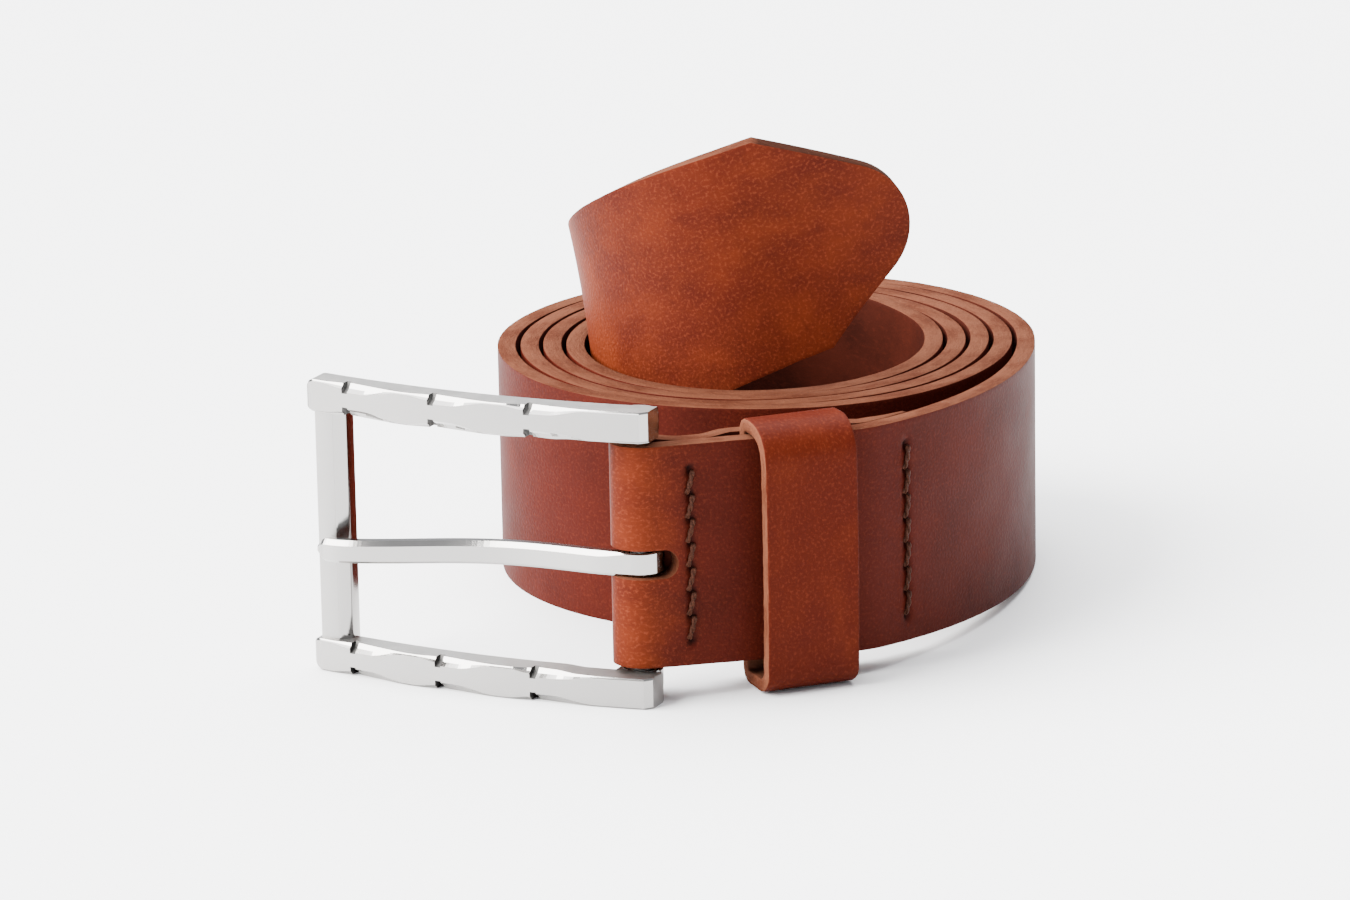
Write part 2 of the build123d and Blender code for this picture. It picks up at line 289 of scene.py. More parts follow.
def nickel_finish(name, base, roughness, brushed):
    """Nickel plate, with fine drawn lines where it is satin."""
    finish = Finish(name, Base_Color=(*base, 1.0), Metallic=1.0)
    spot = finish.node("ShaderNodeTexCoord", {}, {}, output=3)
    lines = finish.cloud(finish.stretched(spot, (0.10, 0.10, 1.0)), 0.00022, 3.0, 0.7)
    smears = finish.cloud(spot, 0.007, 3.0, 0.6)
    finish.feed("Roughness", roughness + 0.10 * smears + brushed * 0.18 * lines)
    finish.feed("Normal", finish.bump(lines + smears * 0.6, 0.00002, 0.10 + 0.5 * brushed))
    return finish.material


# ---------------------------------------------------------------- the line the leather follows

class Section:
    """The strap's section at one place: its middle, and the ways across the strap and out of its grain."""

    def __init__(self, middle, forward, across, outward, half_width):
        self.middle = middle
        self.forward = forward
        self.across = across
        self.outward = outward
        self.half_width = half_width


class Course:
    """A run of sections, found by their distance along the leather."""

    def __init__(self, sections):
        self.sections = sections
        self.distances = [0.0]
        for before, after in zip(sections, sections[1:]):
            self.distances.append(self.distances[-1] + (after.middle - before.middle).length)

    @property
    def length(self):
        return self.distances[-1]

    def at(self, distance):
        """The section at a distance, which may lie a little past either end."""
        index = min(max(bisect_right(self.distances, distance) - 1, 0), len(self.sections) - 2)
        before, after = self.sections[index], self.sections[index + 1]
        share = (distance - self.distances[index]) / (self.distances[index + 1] - self.distances[index])
        return Section(
            before.middle.lerp(after.middle, share),
            before.forward.lerp(after.forward, share).normalized(),
            before.across.lerp(after.across, share).normalized(),
            before.outward.lerp(after.outward, share).normalized(),
            before.half_width + (after.half_width - before.half_width) * share,
        )


def smooth_step(value):
    value = min(max(value, 0.0), 1.0)
    return value * value * (3 - 2 * value)


def smooth_step_area(value):
    value = min(max(value, 0.0), 1.0)
    return value**3 - value**4 / 2


def turned_left(heading, angle):
    return Matrix.Rotation(angle, 3, "Z") @ heading


def bend(place, heading, radius, degrees, step=0.8 * MM):
    """Places and headings round a bend to the left, without its first place."""
    count = max(2, math.ceil(radius * math.radians(degrees) / step))
    centre = place + turned_left(heading, math.pi / 2) * radius
    for number in range(1, count + 1):
        angle = math.radians(degrees) * number / count
        yield centre + turned_left(place - centre, angle), turned_left(heading, angle)


def run(place, heading, distance, step=0.8 * MM):
    """Places and headings along a straight run, without its first place."""
    count = max(2, math.ceil(distance / step))
    for number in range(1, count + 1):
        yield place + heading * (distance * number / count), heading


def half_turn(centre, half_width, half_depth, start, count=190):
    """Places and headings round half an ellipse, without its first place."""
    for number in range(1, count + 1):
        angle = start + math.pi * number / count
        radius = Vector((half_width * math.cos(angle), half_depth * math.sin(angle), 0))
        heading = Vector((-half_width * math.sin(angle), half_depth * math.cos(angle), 0))
        yield centre + radius, heading.normalized()


# The coil: half turns, each narrower than the last, and shifted to join the one before
HALF_TURNS = 8
COIL_HALF_WIDTH = 46.275 * MM
COIL_HALF_DEPTH = 47.6 * MM
WIDTH_STEP = 2.05 * MM
DEPTH_STEP = 1.675 * MM
SIDE_SHIFT = 1.025 * MM
FOLD_RADIUS = 3.5 * MM
STRAIGHT_RUN = 35.0 * MM
TIGHT_BEND = (17.384 * MM, 23.0)
WIDE_BEND = (96.426 * MM, 45.0)
LOWER_RISE = 0.0570
UPPER_RISE = 0.0405
BUCKLE_SEAM = 7.5 * MM
KEEPER_SEAM = 48.5 * MM
TURN_BACK = 53.0 * MM
# The turn-back's depth behind the front layer's middle, by distance from the heel bar
TURN_BACK_DEPTHS = (
    (0, 7.0), (7.5, 3.05), (11.0, 3.1), (17.0, 5.6), (36.8, 5.6), (42.0, 3.1), (48.5, 2.55), (53.0, 2.2)
)
RISE_HALF_WIDTH = 29.875 * MM
RISE_HALF_DEPTH = 34.2 * MM
RISE_BEND = (33.0 * MM, 80.0)
TIP_BEND = (70.0 * MM, 22.2)
CLIMB = 0.54
CLIMB_RUN = 130.0 * MM
LEAN_RUN = 100.0 * MM
TIP_DROOP = 0.25
DROOP_START = 120.0 * MM
DROOP_RUN = 54.0 * MM
LEAN = math.radians(6.5)
POINT_LENGTH = 20.6 * MM
POINT_RADIUS = 11.8 * MM
POINT_LEAD = 60.0 * MM
SLOT_SIDE = -1.3 * MM  # below the middle of the strap
SLOT_RADIUS = 2.6 * MM
SLOT_BACK = -2.6 * MM
SLOT_FRONT = 2.7 * MM
HOLES = (100 * MM, 125 * MM, 150 * MM, 175 * MM, 200 * MM)  # from the point
HOLE_RADIUS = 2.5 * MM


def front_line():
    """The front layer's middle in plan, from the heel bar to the coil."""
    place = HEEL + OUTWARD * FOLD_RADIUS
    line = [(place, TO_COIL)]
    line += run(*line[-1], STRAIGHT_RUN)
    line += bend(*line[-1], *TIGHT_BEND)
    line += bend(*line[-1], *WIDE_BEND)
    return line


def coil_line(start):
    """The coil's middle in plan, from where the front layer joins it."""
    centre = start - Vector((COIL_HALF_WIDTH + SIDE_SHIFT, 0, 0))
    line = []
    for number in range(HALF_TURNS):
        side = 1 if number % 2 == 0 else -1
        middle = centre + Vector((side * SIDE_SHIFT, 0, 0))
        half_width = COIL_HALF_WIDTH - number * WIDTH_STEP
        half_depth = COIL_HALF_DEPTH - number * DEPTH_STEP
        line += half_turn(middle, half_width, half_depth, 0 if side == 1 else math.pi)
    return centre, line


def right_of(heading):
    return Vector((heading.y, -heading.x, 0))


def turn_back_line(front):
    """The turn-back's middle in plan, from its skived end to the heel bar, then round the fold."""
    distances = [0.0]
    for before, after in zip(front, front[1:]):
        distances.append(distances[-1] + (after[0] - before[0]).length)
    line = []
    for (place, heading), distance in zip(front, distances):
        if distance > TURN_BACK:
            break
        for (first, depth), (last, next_depth) in zip(TURN_BACK_DEPTHS, TURN_BACK_DEPTHS[1:]):
            if distance <= last * MM:
                share = smooth_step((distance - first * MM) / ((last - first) * MM))
                line.append(place - right_of(heading) * (depth + (next_depth - depth) * share) * MM)
                break
    line.reverse()
    headed = [(place, (after - place).normalized()) for place, after in zip(line, line[1:])]
    headed.append((line[-1], -TO_COIL))
    headed += bend(*headed[-1], FOLD_RADIUS, 180.0, 0.4 * MM)
    return headed[:-1]


def climbing_section(place, heading, join):
    """Section of the buckle end, whose edges climb from the coil to the buckle."""
    away = (HEEL - join).normalized()
    climbed = max((place - join).dot(away), 0)
    low = LOWER_RISE * climbed
    high = sizes().width + UPPER_RISE * climbed
    return Section(place + UP * (low + high) / 2, heading, UP.copy(), right_of(heading), (high - low) / 2)


def rising_sections(centre):
    """Sections of the tip end, as it climbs out of the coil and leans out."""
    middle = centre + Vector((SIDE_SHIFT, 0, 0))
    line = list(half_turn(middle, RISE_HALF_WIDTH, RISE_HALF_DEPTH, 0))
    line += bend(*line[-1], *RISE_BEND)
    line += bend(*line[-1], *TIP_BEND)
    walked = 0.0
    before = middle + Vector((RISE_HALF_WIDTH, 0, 0))
    for place, heading in line:
        walked += (place - before).length
        before = place
        growth = smooth_step(walked / CLIMB_RUN)
        slope = CLIMB * growth - TIP_DROOP * smooth_step((walked - DROOP_START) / DROOP_RUN)
        growing = CLIMB * CLIMB_RUN * smooth_step_area(walked / CLIMB_RUN)
        steady = CLIMB * max(walked - CLIMB_RUN, 0)
        drooping = TIP_DROOP * DROOP_RUN * smooth_step_area((walked - DROOP_START) / DROOP_RUN)
        height = sizes().width / 2 + growing + steady - drooping
        forward = (heading + UP * slope).normalized()
        upright = (UP - heading * slope).normalized()
        tilt = LEAN * min(walked / LEAN_RUN, 1)
        across = upright * math.cos(tilt) + right_of(heading) * math.sin(tilt)
        outward = across.cross(forward) * -1
        yield Section(place + UP * height, forward, across, outward, sizes().width / 2)


def wandering(section, distance, amount):
    """The section of a coiled layer, a little uneven in height and spacing."""
    lift = noise.noise(Vector((distance / 0.045, 3.1, 0))) * 0.5 * MM * amount
    shift = noise.noise(Vector((distance / 0.033, 9.7, 0))) * 0.14 * MM * amount
    section.half_width += lift / 2
    section.middle = section.middle + UP * lift / 2 + section.outward * shift
    return section


def strap_course():
    """The whole strap: turn-back, fold, front layer, coil and rising tip."""
    front = front_line()
    join = front[-1][0]
    centre, coil = coil_line(join)
    buckle_end = turn_back_line(front) + front
    sections = [climbing_section(place, heading, join) for place, heading in buckle_end]
    half = sizes().width / 2
    walked = 0.0
    before = join
    total = sum((b[0] - a[0]).length for a, b in zip(coil, coil[1:]))
    for place, heading in coil:
        walked += (place - before).length
        before = place
        section = Section(place + UP * half, heading, UP.copy(), right_of(heading), half)
        fade = min(walked / 0.06, 1.0, (total - walked) / 0.06)
        sections.append(wandering(section, walked, max(fade, 0)))
    sections += rising_sections(centre)
    return Course(sections)


# ---------------------------------------------------------------- flat blanks

def spaced(stops):
    """Places from the first stop to the last. Each stop gives the spacing that leads to it."""
    places = [stops[0][0]]
    for (start, _), (end, spacing) in zip(stops, stops[1:]):
        count = max(1, round((end - start) / spacing))
        places += [start + (end - start) * number / count for number in range(1, count + 1)]
    return places


def flat_sheet(columns, rows):
    """A flat grid with a vertex at each column and row."""
    sheet = bmesh.new()
    bmesh.ops.create_grid(sheet, x_segments=len(columns) - 1, y_segments=len(rows) - 1, size=0.5)
    for vertex in sheet.verts:
        vertex.co.x = columns[round((vertex.co.x + 0.5) * (len(columns) - 1))]
        vertex.co.y = rows[round((vertex.co.y + 0.5) * (len(rows) - 1))]
    return sheet


def cut_point(sheet, shoulder, lead, half):
    """Draws the sheet's last columns out to an English point: straight flanks and a round nose."""
    centre = POINT_LENGTH - POINT_RADIUS
    reach = math.hypot(centre, half)
    flank = math.asin(POINT_RADIUS / reach) - math.atan2(half, centre)
    tangent = math.sqrt(reach**2 - POINT_RADIUS**2)
    touch_x = tangent * math.cos(flank)
    touch_y = half + tangent * math.sin(flank)
    for vertex in sheet.verts:
        if vertex.co.x <= shoulder - lead:
            continue
        side = min(abs(vertex.co.y), half)
        if side > touch_y:
            outline = touch_x * (half - side) / (half - touch_y)
        else:
            outline = centre + math.sqrt(POINT_RADIUS**2 - side**2)
        share = (vertex.co.x - shoulder + lead) / (lead + POINT_LENGTH)
        vertex.co.x = shoulder - lead + share * (lead + outline)


def punch(sheet, start, end, radius, margin, side=0.0):
    """Punches a round-ended slot, or a round hole, through the flat sheet."""
    def nearest(point):
        axis = Vector((min(max(point.x, start), end), side, 0))
        return axis, (point - axis).to_2d().to_3d()

    inside = [f for f in sheet.faces if nearest(f.calc_center_median())[1].length < radius]
    bmesh.ops.delete(sheet, geom=inside, context="FACES")
    for vertex in sheet.verts:
        axis, spoke = nearest(vertex.co)
        if vertex.is_boundary and spoke.length < radius + margin:
            vertex.co = axis + spoke.normalized() * radius


def thickened(sheet, thickness, corner):
    """Gives the sheet its thickness, rubs its cut corners, and marks grain 0, flesh 1 and cut edge 2."""
    bmesh.ops.solidify(sheet, geom=sheet.faces[:], thickness=thickness)
    bmesh.ops.recalc_face_normals(sheet, faces=sheet.faces[:])
    low = min(vertex.co.z for vertex in sheet.verts)
    high = max(vertex.co.z for vertex in sheet.verts)
    for vertex in sheet.verts:
        vertex.co.z -= (low + high) / 2
    rims = [
        edge for edge in sheet.edges
        if len(edge.link_faces) == 2
        and abs(edge.link_faces[0].normal.z) + abs(edge.link_faces[1].normal.z) > 0.9
        and abs(edge.link_faces[0].normal.z - edge.link_faces[1].normal.z) > 0.9
    ]
    bmesh.ops.bevel(
        sheet, geom=rims, offset=corner, offset_type="OFFSET", segments=2, profile=0.5,
        affect="EDGES", material=-1, clamp_overlap=True,
    )
    for face in sheet.faces:
        face.material_index = 0 if face.normal.z > 0.7 else 1 if face.normal.z < -0.7 else 2
        face.smooth = True
    layer = sheet.loops.layers.uv.new("leather")
    for face in sheet.faces:
        for loop in face.loops:
            loop[layer].uv = (loop.vert.co.x, loop.vert.co.y + loop.vert.co.z)


def bent_along(sheet, course, half, thinning=None):
    """Bends the flat sheet along its course."""
    cache = {}
    for vertex in sheet.verts:
        key = round(vertex.co.x, 6)
        if key not in cache:
            cache[key] = course.at(vertex.co.x)
        section = cache[key]
        through = vertex.co.z * (thinning(vertex.co.x) if thinning else 1.0)
        side = vertex.co.y / half * section.half_width
        vertex.co = section.middle + section.across * side + section.outward * through


def finished(name, sheet, body, materials, replaced=(), crease=None):
    """Makes the piece an object that rides on its body and stands for its nodes."""
    mesh = bpy.data.meshes.new(name)
    sheet.to_mesh(mesh)
    sheet.free()
    if crease:
        mesh.set_sharp_from_angle(angle=math.radians(crease))
    for material in materials:
        mesh.materials.append(material)
    piece = bpy.data.objects.new(name, mesh)
    bpy.context.scene.collection.objects.link(piece)
    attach(piece, body)
    if replaced:
        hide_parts(*replaced)
    return piece


# ---------------------------------------------------------------- strap

STRAP = {}
GROOVE = (0.22 * MM, 0.75 * MM)       # depth and reach of the groove along a seam
STITCH_DENT = (0.75 * MM, 0.72 * MM)  # depth and reach of the dent at each of its holes
STITCH_LEAN = 0.55 * MM
STITCH_LIFT = 0.42 * MM


def hole_heights(count=8):
    """Places of a seam's holes across the flat strap."""
    pitch = sizes().stitch
    return [pitch * (number - (count - 1) / 2) for number in range(count)]


def seam_places():
    """Where each seam crosses the flat strap: turn-back side first, then the front layer."""
    fold = math.pi * FOLD_RADIUS
    heel_start = STRAP["fold"]
    return {
        "buckle": (heel_start - BUCKLE_SEAM, heel_start + fold + BUCKLE_SEAM),
        "keeper": (heel_start - KEEPER_SEAM, heel_start + fold + KEEPER_SEAM),
    }


def measure_strap():
    """Works out the strap's course, and where its fold starts on the flat strap."""
    STRAP["course"] = strap_course()
    front = front_line()
    turn_back = turn_back_line(front)
    arc = math.pi * FOLD_RADIUS
    walked = sum((b[0] - a[0]).length for a, b in zip(turn_back, turn_back[1:]))
    STRAP["fold"] = walked - arc


def skiving(distance):
    """How much of the strap's thickness is left at a distance from its turned end."""
    fold = STRAP["fold"]
    turned = sizes().turned / sizes().leather
    if distance > fold + math.pi * FOLD_RADIUS:
        return 1.0
    if distance > fold:
        return turned + (1 - turned) * (distance - fold) / (math.pi * FOLD_RADIUS)
    return 0.30 + (turned - 0.30) * smooth_step(distance / (12 * MM))


def dent_stitches(sheet, dents, marks):
    """Presses the stitch holes, and the groove between them, into both outer faces, and paints shade into
    them.
    """
    for place in [place for places in seam_places().values() for place in places]:
        for vertex in sheet.verts:
            along = vertex.co.x - place
            side = vertex.co.y
            if vertex.co.z < 0 or abs(along) > 2.5 * MM or abs(side) >= hole_heights()[-1] + MM:
                continue
            groove = math.exp(-((along / GROOVE[1]) ** 2))
            deep = max(
                math.exp(-(along**2 + (side - height) ** 2) / STITCH_DENT[1] ** 2) for height in hole_heights()
            )
            vertex[dents] = GROOVE[0] * groove + STITCH_DENT[0] * deep
            # Painted shade, strong in the holes and faint along the groove, where it is partly the darker
            # pressed leather.
            vertex[marks] = min(1.0, 0.25 * groove + 1.1 * deep)


class BELT_OT_strap(bpy.types.Operator):
    """Cuts the strap flat, points and punches it, then folds and coils it"""

    bl_idname = "belt.strap"
    bl_label = "Strap"

    def execute(self, context):
        measure_strap()
        course = STRAP["course"]
        fold = STRAP["fold"]
        arc = math.pi * FOLD_RADIUS
        half = sizes().width / 2
        front = fold + arc
        coil = front + STRAIGHT_RUN + 60 * MM
        shoulder = course.length - POINT_LENGTH
        holes = [course.length - distance for distance in HOLES]
        stops = [
            (0, 0), (fold - KEEPER_SEAM + 3 * MM, 0.55 * MM), (fold - BUCKLE_SEAM - 3 * MM, 1.4 * MM),
            (front + BUCKLE_SEAM + 3 * MM, 0.5 * MM), (front + KEEPER_SEAM - 3 * MM, 1.2 * MM),
            (front + KEEPER_SEAM + 3 * MM, 0.5 * MM), (coil, 1.5 * MM),
            (holes[-1] - 4 * MM, 2.6 * MM), (course.length, 1.15 * MM),
        ]
        edge_rows = [half - 0.7 * MM, half]
        middle_rows = [-18.6 * MM + 37.2 * MM * number / 40 for number in range(41)]
        rows = [-row for row in reversed(edge_rows)] + middle_rows + edge_rows
        sheet = flat_sheet(spaced(stops), rows)
        cut_point(sheet, shoulder, POINT_LEAD, half)
        punch(sheet, fold + SLOT_BACK, front + SLOT_FRONT, SLOT_RADIUS, 0.7 * MM, SLOT_SIDE)
        for place in holes:
            punch(sheet, place, place, HOLE_RADIUS, 0.9 * MM)
        thickened(sheet, sizes().leather, sizes().corner)
        dents = sheet.verts.layers.float.new("dent")
        # One layer for two marks: painted shade in the stitch holes and groove, and real burnish on the
        # point's edges.
        marks = sheet.verts.layers.float.new("marked")
        rubbed = sheet.verts.layers.float.new("rubbed")
        dent_stitches(sheet, dents, marks)
        burnished = {
            vertex for face in sheet.faces if face.material_index == 2 for vertex in face.verts
            if vertex.co.x > shoulder + MM
        }
        for vertex in burnished:
            vertex[marks] = 0.7
        for vertex in sheet.verts:
            wobble = noise.noise(Vector((vertex.co.x / 0.004, vertex.co.y * 50, 1.7))) * 0.07 * MM
            edge = smooth_step((abs(vertex.co.y) - half + 1.2 * MM) / (1.2 * MM))
            vertex.co.y += math.copysign(wobble * edge, vertex.co.y)
            vertex.co.z -= vertex[dents]
            # Lighter pulled-up grain where the leather bends: round the buckle fold, where it is partly a
            # painted highlight, over the tip's bend and along the tip.
            near_fold = math.exp(-((vertex.co.x - fold - arc * 0.8) / (7 * MM)) ** 2)
            near_bend = math.exp(-((vertex.co.x - shoulder + 52 * MM) / (14 * MM)) ** 2)
            on_tip = smooth_step((vertex.co.x - shoulder + 75 * MM) / (30 * MM))
            vertex[rubbed] = max(0.6 * near_fold, 0.95 * near_bend, 0.42 * on_tip)
        bent_along(sheet, course, half, skiving)
        tones = colours()
        materials = (
            grain_finish("waxed_grain", tones.grain, tones.shade, tones.bloom, 0.0),
            flesh_finish("flesh_side", tones.flesh),
            cut_finish("raw_edge", tones.cut),
        )
        finished("strap_leather", sheet, "belt", materials, ("strap",))
        return {"FINISHED"}


# ---------------------------------------------------------------- lofted shells

def lofted(piece, rings):
    """Adds a closed shell through rings of points, each ring with as many points."""
    corners = [piece.verts.new(point) for point in rings[0]]
    face = piece.faces.new(corners)
    for ring in rings[1:]:
        result = bmesh.ops.extrude_face_region(piece, geom=[face])
        face = next(item for item in result["geom"] if isinstance(item, bmesh.types.BMFace))
        for vertex, point in zip(face.verts, ring):
            vertex.co = point
    return face


# ---------------------------------------------------------------- seams

def swept(piece, points, radius, reference, sides=7):
    """Adds a closed round tube through the points, which never run along the reference, to the piece."""
    rings = []
    for number, point in enumerate(points):
        along = (points[min(number + 1, len(points) - 1)] - points[max(number - 1, 0)]).normalized()
        side = (reference - along * reference.dot(along)).normalized()
        other = along.cross(side)
        spokes = [2 * math.pi * spoke / sides for spoke in range(sides)]
        rings.append([point + (side * math.cos(turn) + other * math.sin(turn)) * radius for turn in spokes])
    lofted(piece, rings)


def stitch_plies(start, end, lift, radius):
    """The two twisted plies of one stitch, from hole to hole over the leather."""
    along = end - start
    side = along.cross(lift).normalized() * radius * 0.75
    rise = lift.normalized() * radius * 0.75
    for ply in (0, math.pi):
        points = []
        for number in range(15):
            share = number / 14
            height = lift * (math.sin(math.pi * share) ** 0.55 - 0.45)
            twist = 2 * math.pi * 1.25 * share + ply
            points.append(start + along * share + height + side * math.cos(twist) + rise * math.sin(twist))
        yield points


class BELT_OT_seams(bpy.types.Operator):
    """Sews both seams with slanted saddle stitches on the front and the back"""

    bl_idname = "belt.seams"
    bl_label = "Seams"

    def execute(self, context):
        course = STRAP["course"]
        half = sizes().width / 2
        heights = hole_heights()
        finish = thread_finish("waxed_thread", colours().thread)
        for name, places in seam_places().items():
            piece = bmesh.new()
            for place in places:
                section = course.at(place)
                surface = sizes().leather / 2 * skiving(place)
                lean = section.forward * STITCH_LEAN

                def hole(height, depth=0.0):
                    side = section.across * (height / half * section.half_width)
                    return section.middle + side + section.outward * (surface - depth)

                for low, high in zip(heights, heights[1:]):
                    start = hole(low + 0.25 * MM, 0.05 * MM) - lean
                    end = hole(high - 0.25 * MM, 0.05 * MM) + lean
                    for points in stitch_plies(start, end, section.outward * STITCH_LIFT, sizes().thread):
                        swept(piece, points, sizes().thread, section.forward)
            bmesh.ops.recalc_face_normals(piece, faces=piece.faces[:])
            for face in piece.faces:
                face.smooth = True
            finished(f"{name}_seam", piece, "belt", (finish,), (f"{name}_seam_thread",))
        return {"FINISHED"}


# ---------------------------------------------------------------- keeper

KEEPER_AT = 26.5 * MM
KEEPER_LENGTH = 16.5 * MM
KEEPER_BACK = -2.85 * MM
KEEPER_FRONT = 6.4 * MM
KEEPER_LOW = 1.45 * MM
KEEPER_HIGH = 45.4 * MM
KEEPER_CORNERS = (1.6 * MM, 2.7 * MM, 5.0 * MM, 1.6 * MM)  # low back, low front, high front, high back
KEEPER_BULGE = 0.45 * MM
KEEPER_JOINT = (15 * MM, 10 * MM)  # thinned this far from its joint, then thickening over this run


def keeper_course():
    """The keeper's ring round the front layer, from the middle of its back wall and back to it."""
    origin = HEEL + OUTWARD * FOLD_RADIUS + TO_COIL * KEEPER_AT
    middle = (KEEPER_LOW + KEEPER_HIGH) / 2
    line = [(Vector((KEEPER_BACK, middle, 0)), Vector((0, -1, 0)))]
    line += run(*line[-1], middle - KEEPER_LOW - KEEPER_CORNERS[0])
    reaches = (KEEPER_FRONT - KEEPER_BACK, KEEPER_HIGH - KEEPER_LOW, KEEPER_FRONT - KEEPER_BACK)
    for corner, following, reach in zip(KEEPER_CORNERS, KEEPER_CORNERS[1:], reaches):
        line += bend(*line[-1], corner, 90.0, 0.4 * MM)
        line += run(*line[-1], reach - corner - following)
    line += bend(*line[-1], KEEPER_CORNERS[-1], 90.0, 0.4 * MM)
    line += run(*line[-1], KEEPER_HIGH - KEEPER_CORNERS[-1] - middle - 0.1 * MM)
    sections = []
    for place, heading in line:
        share = min(max((place.y - KEEPER_LOW) / (KEEPER_HIGH - KEEPER_LOW), 0), 1)
        bulge = KEEPER_BULGE * math.sin(math.pi * share)
        front = smooth_step((place.x - KEEPER_BACK) / (KEEPER_FRONT - KEEPER_BACK))
        spot = origin + OUTWARD * (place.x + bulge * front) + UP * place.y
        way = OUTWARD * heading.x + UP * heading.y
        out = OUTWARD * heading.y - UP * heading.x
        sections.append(Section(spot, way, -TO_COIL, out, KEEPER_LENGTH / 2))
    return Course(sections)


class BELT_OT_keeper(bpy.types.Operator):
    """Bends the keeper's strip round the front of the strap"""

    bl_idname = "belt.keeper"
    bl_label = "Keeper"

    def execute(self, context):
        course = keeper_course()
        half = KEEPER_LENGTH / 2
        columns = spaced([(0, 0), (course.length, 0.8 * MM)])
        middle_rows = [1.1 * MM * number for number in range(-6, 7)]
        rows = [-half, -half + 0.6 * MM, *middle_rows, half - 0.6 * MM, half]
        sheet = flat_sheet(columns, rows)
        thickened(sheet, sizes().keeper, 0.28 * MM)
        rubbed = sheet.verts.layers.float.new("rubbed")
        sheet.verts.layers.float.new("marked")
        for vertex in sheet.verts:
            ragged = noise.noise(Vector((vertex.co.x / 0.0022, vertex.co.y * 90, 6.2))) * 0.16 * MM
            edge = smooth_step((abs(vertex.co.y) - half + 1.0 * MM) / MM)
            vertex.co.y += math.copysign(ragged * edge, vertex.co.y)
            vertex[rubbed] = 0.15

        def wall(distance):
            from_joint = min(distance, course.length - distance)
            return 0.85 + 0.15 * smooth_step((from_joint - KEEPER_JOINT[0]) / KEEPER_JOINT[1])

        bent_along(sheet, course, half, wall)
        tones = colours()
        materials = (
            grain_finish("keeper_grain", tones.keeper, tones.grain, tones.bloom, 0.0),
            flesh_finish("keeper_flesh", tones.cut),
            cut_finish("keeper_edge", tuple(min(1.0, 1.35 * channel) for channel in tones.cut)),
        )
        finished("keeper_ring", sheet, "keeper", materials, ("keeper_loop",))
        return {"FINISHED"}


# ---------------------------------------------------------------- buckle

BUCKLE_TURN = math.radians(-24.4)
FRAME_RIGHT = 4.8 * MM
FRAME_LEFT = -58.7 * MM
FRAME_FRONT = -7.5 * MM
FRAME_BOW = 3.0 * MM
BAR_DEPTH = 5.3 * MM
BAR_HEIGHT = 5.6 * MM
LUG_RADIUS = 3.5 * MM
LUG_HEIGHT = 3.6 * MM
NOTCHES = (-50.9 * MM, -34.0 * MM, -16.3 * MM)
FLUTE = 11.0 * MM
PIT = 1.1 * MM
END_BAR = ((-57.2, -6.9), (-53.6, -6.9), (-51.9, -5.2), (-51.9, -2.6), (-57.2, -2.6))
PRONG_LINE = ((0, -2.95), (-6.2, -3.25), (-15.2, -2.3), (-24.2, -2.4), (-32.7, -4.3), (-40.2, -7.0),
              (-48.0, -9.5), (-52.6, -10.1), (-55.6, -9.2))
PRONG_DROP = 1.4 * MM  # its tip rests this much lower than its eye
PRONG_EYE = 2.95 * MM
PRONG_WRAP = (170, -80, 22)  # the eye's first angle, the angle it ends short of, and its steps
PRONG_HEIGHT = 23.8 * MM


def buckle_place():
    """Turns the buckle's own plan, from the heel bar, into the belt's frame."""
    return Matrix.Translation(HEEL) @ Matrix.Rotation(BUCKLE_TURN, 4, "Z")


def front_edge(x):
    """The side bar's front in plan."""
    middle = (FRAME_LEFT + FRAME_RIGHT) / 2
    return FRAME_FRONT - FRAME_BOW * (1 - ((x - middle) / (FRAME_RIGHT - middle)) ** 2)


def flute_profile(x):
    """How far the flutes cut down the bar's front, and how far back, at a place along the bar."""
    after = min((x - notch for notch in NOTCHES if x >= notch), default=None)
    before = min((notch - x for notch in NOTCHES if x < notch), default=None)
    drop, back = 0.30 * MM, 0.30 * MM
    if before is not None and before < 4 * MM:
        near = smooth_step(1 - before / (4 * MM))
        drop, back = (0.30 + 0.45 * near) * MM, (0.30 + 0.50 * near) * MM
    if after is not None and after < PIT:
        return 1.6 * MM, 2.3 * MM
    if after is not None and after < FLUTE:
        share = after / FLUTE
        drop = max(drop, (0.30 + 1.05 * (1 - smooth_step((share - 0.35) / 0.65))) * MM)
        back = max(back, (0.30 + 1.35 * (1 - share) ** 1.1) * MM)
    return drop, back


def side_bar_rings():
    """Rings along the lower side bar, from its left end to its right."""
    steps = spaced([(FRAME_LEFT, 0), (FRAME_LEFT + 2 * MM, 0.2 * MM), (FRAME_RIGHT - 1.3 * MM, 0.6 * MM),
                    (FRAME_RIGHT, 0.2 * MM)])
    for notch in NOTCHES:
        steps = [x for x in steps if not notch - 0.3 * MM < x < notch + PIT + 0.3 * MM]
        steps += [notch - 0.02 * MM, notch + 0.02 * MM, notch + PIT - 0.02 * MM, notch + PIT + 0.02 * MM]
    rings = []
    for x in sorted(steps):
        drop, deep = flute_profile(x)
        left = max(0.0, 1 - (x - FRAME_LEFT) / (2 * MM))
        inset = 2.0 * MM * (1 - math.sqrt(max(0.0, 1 - left * left)))
        right = max(0.0, x - (FRAME_RIGHT - 1.1 * MM))
        front = front_edge(x) + inset * 0.6 + right + 0.1 * MM
        back = front_edge(x) + BAR_DEPTH - inset * 0.5
        low, high = inset, BAR_HEIGHT - inset * 0.4 - 0.3 * MM * smooth_step((x + 12 * MM) / (4 * MM))
        rim = 0.35 * MM
        hollow = 0.60
        rings.append([
            Vector((x, front + deep, low)), Vector((x, back - rim, low)), Vector((x, back, low + rim)),
            Vector((x, back, high - rim)), Vector((x, back - rim, high)), Vector((x, front + deep, high)),
            Vector((x, front + deep * hollow, high - drop * hollow)), Vector((x, front, high - drop)),
            Vector((x, front, low + drop)), Vector((x, front + deep * hollow, low + drop * hollow)),
        ])
    return rings


